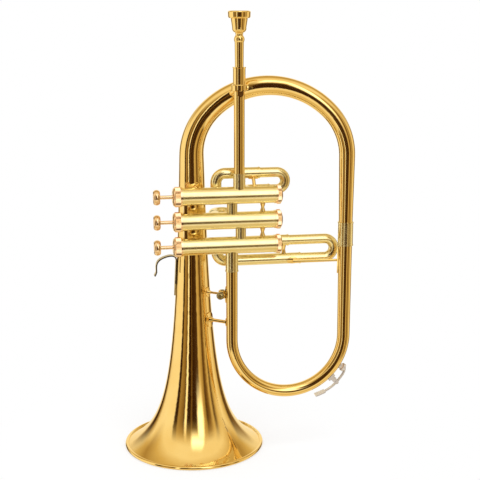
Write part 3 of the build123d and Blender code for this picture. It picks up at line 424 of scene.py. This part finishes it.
def paint_cad_nodes():
    """Gives each CAD node the material of its slot in the record."""
    for subpart in frame["record"]["subparts"]:
        mesh = cad_nodes[subpart["node"]].data
        mesh.materials.clear()
        mesh.materials.append(materials[subpart["material_slot"]])


def make_valve_springs():
    """Springs that stand for the CAD's: copies of their meshes on the horn's body, with the CAD's hidden.
    Like the CAD's, they keep their length.
    """
    for number in (1, 2, 3):
        node = f"valve_spring_{number}"
        spring = bpy.data.objects.new(f"coil_spring_{number}", cad_nodes[node].data.copy())
        bpy.context.scene.collection.objects.link(spring)
        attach(spring, "horn")
        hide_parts(node)
        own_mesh(spring)


def make_floor():
    mesh = bpy.data.meshes.new("floor")
    turns = [2 * math.pi * step / floor_sides for step in range(floor_sides)]
    edge = [(floor_radius * math.cos(turn), floor_radius * math.sin(turn), 0) for turn in turns]
    mesh.from_pydata(edge, [], [tuple(range(floor_sides))])
    floor = bpy.data.objects.new("floor", mesh)
    floor.location = (0, 0, low.z)
    bpy.context.scene.collection.objects.link(floor)
    mesh.materials.append(floor_paint())
    floor.visible_glossy = False


def round_horn(azimuth, elevation, distance, target):
    """A place seen from the target at an azimuth and elevation, as the camera's are counted."""
    a = math.radians(azimuth)
    e = math.radians(elevation)
    way = Vector((math.sin(a) * math.cos(e), -math.cos(a) * math.cos(e), math.sin(e)))
    return target + way * distance, way


def make_camera():
    target = Vector((centre.x, valve_y, centre.z))
    data = bpy.data.cameras.new("camera")
    data.lens = camera_lens
    data.sensor_width = sensor_width
    data.clip_start = clip_start
    data.clip_end = clip_end
    camera = bpy.data.objects.new("camera", data)
    camera.location, way = round_horn(camera_azimuth, camera_elevation, camera_distance, target)
    camera.rotation_euler = (-way).to_track_quat("-Z", "Y").to_euler()
    bpy.context.scene.collection.objects.link(camera)
    bpy.context.scene.camera = camera


def make_world():
    """The studio that the metal mirrors, and a white backdrop for the eye."""
    world = bpy.data.worlds.new("studio")
    bpy.context.scene.world = world
    world.use_nodes = True
    world.node_tree.nodes.clear()
    nodes = Nodes(world.node_tree)

    def ramp_by_degrees(angle, stops):
        """Colours at angles from -180 to 180 degrees, the angle being in radians."""
        share = nodes.math("ADD", nodes.math("DIVIDE", angle, 2 * math.pi), 0.5)
        return nodes.ramp(share, [(degrees / 360 + 0.5, colour) for degrees, colour in stops])

    def past(angle, degrees, edge):
        """0 before an angle and 1 past it, with a soft edge."""
        start = math.radians(degrees - edge)
        end = math.radians(degrees + edge)
        return nodes.span(angle, start, end, curve="SMOOTHSTEP")

    def between(angle, start, end, start_edge, end_edge):
        """1 between two angles and 0 outside them, with soft edges."""
        return nodes.math("SUBTRACT", past(angle, start, start_edge), past(angle, end, end_edge))

    turned = nodes.add("ShaderNodeVectorRotate", rotation_type="Z_AXIS")
    turned.inputs["Angle"].default_value = -math.radians(camera_azimuth)
    nodes.join(nodes.add("ShaderNodeTexCoord").outputs["Generated"], turned.inputs["Vector"])
    way = nodes.add("ShaderNodeSeparateXYZ")
    nodes.join(turned.outputs["Vector"], way.inputs["Vector"])
    to_front = nodes.math("MULTIPLY", way.outputs["Y"], -1.0)
    azimuth = nodes.math("ARCTAN2", way.outputs["X"], to_front)
    elevation = nodes.math("ARCSINE", way.outputs["Z"])
    stripes = ramp_by_degrees(azimuth, studio_stripes)
    arch = ramp_by_degrees(nodes.math("ARCTAN2", way.outputs["Z"], to_front), studio_arch)

    to_back = nodes.math("SUBTRACT", 1.0, to_front)
    droop = nodes.math("MULTIPLY", to_back, math.radians(stripes_droop))
    height = nodes.math("ADD", elevation, droop)
    in_stripes = between(height, stripes_low, stripes_high, stripes_low_edge, stripes_high_edge)
    in_softbox = 0.0
    for left, right, low_end, high_end in softboxes:
        across = between(azimuth, left, right, softbox_side_edge, softbox_side_edge)
        up = between(elevation, low_end, high_end, softbox_end_edge, softbox_end_edge)
        in_softbox = nodes.math("MAXIMUM", nodes.math("MULTIPLY", across, up), in_softbox)
    room = nodes.mixed(in_stripes, arch, stripes)

    mirrored = nodes.add("ShaderNodeBackground")
    nodes.join(nodes.mixed(in_softbox, room, softbox_light), mirrored.inputs["Color"])
    backdrop = nodes.add("ShaderNodeBackground")
    backdrop.inputs["Color"].default_value = (1, 1, 1, 1)
    either = nodes.add("ShaderNodeMixShader")
    nodes.join(nodes.add("ShaderNodeLightPath").outputs["Is Glossy Ray"], either.inputs["Fac"])
    nodes.join(backdrop.outputs["Background"], either.inputs[1])
    nodes.join(mirrored.outputs["Background"], either.inputs[2])
    nodes.join(either.outputs["Shader"], nodes.add("ShaderNodeOutputWorld").inputs["Surface"])


def make_light():
    """One wide flat light over the horn, which faces its middle."""
    data = bpy.data.lights.new("overhead", "AREA")
    data.shape = "RECTANGLE"
    data.size = light_width
    data.size_y = light_depth
    data.energy = light_power
    lamp = bpy.data.objects.new("overhead", data)
    lamp.location, way = round_horn(light_azimuth, light_elevation, light_distance, centre)
    lamp.rotation_euler = (-way).to_track_quat("-Z", "Y").to_euler()
    lamp.visible_glossy = False
    bpy.context.scene.collection.objects.link(lamp)


paint_cad_nodes()
make_valve_springs()
make_floor()
make_camera()
make_world()
make_light()
bpy.context.scene.view_settings.view_transform = "Standard"
bpy.context.scene.view_settings.look = "None"
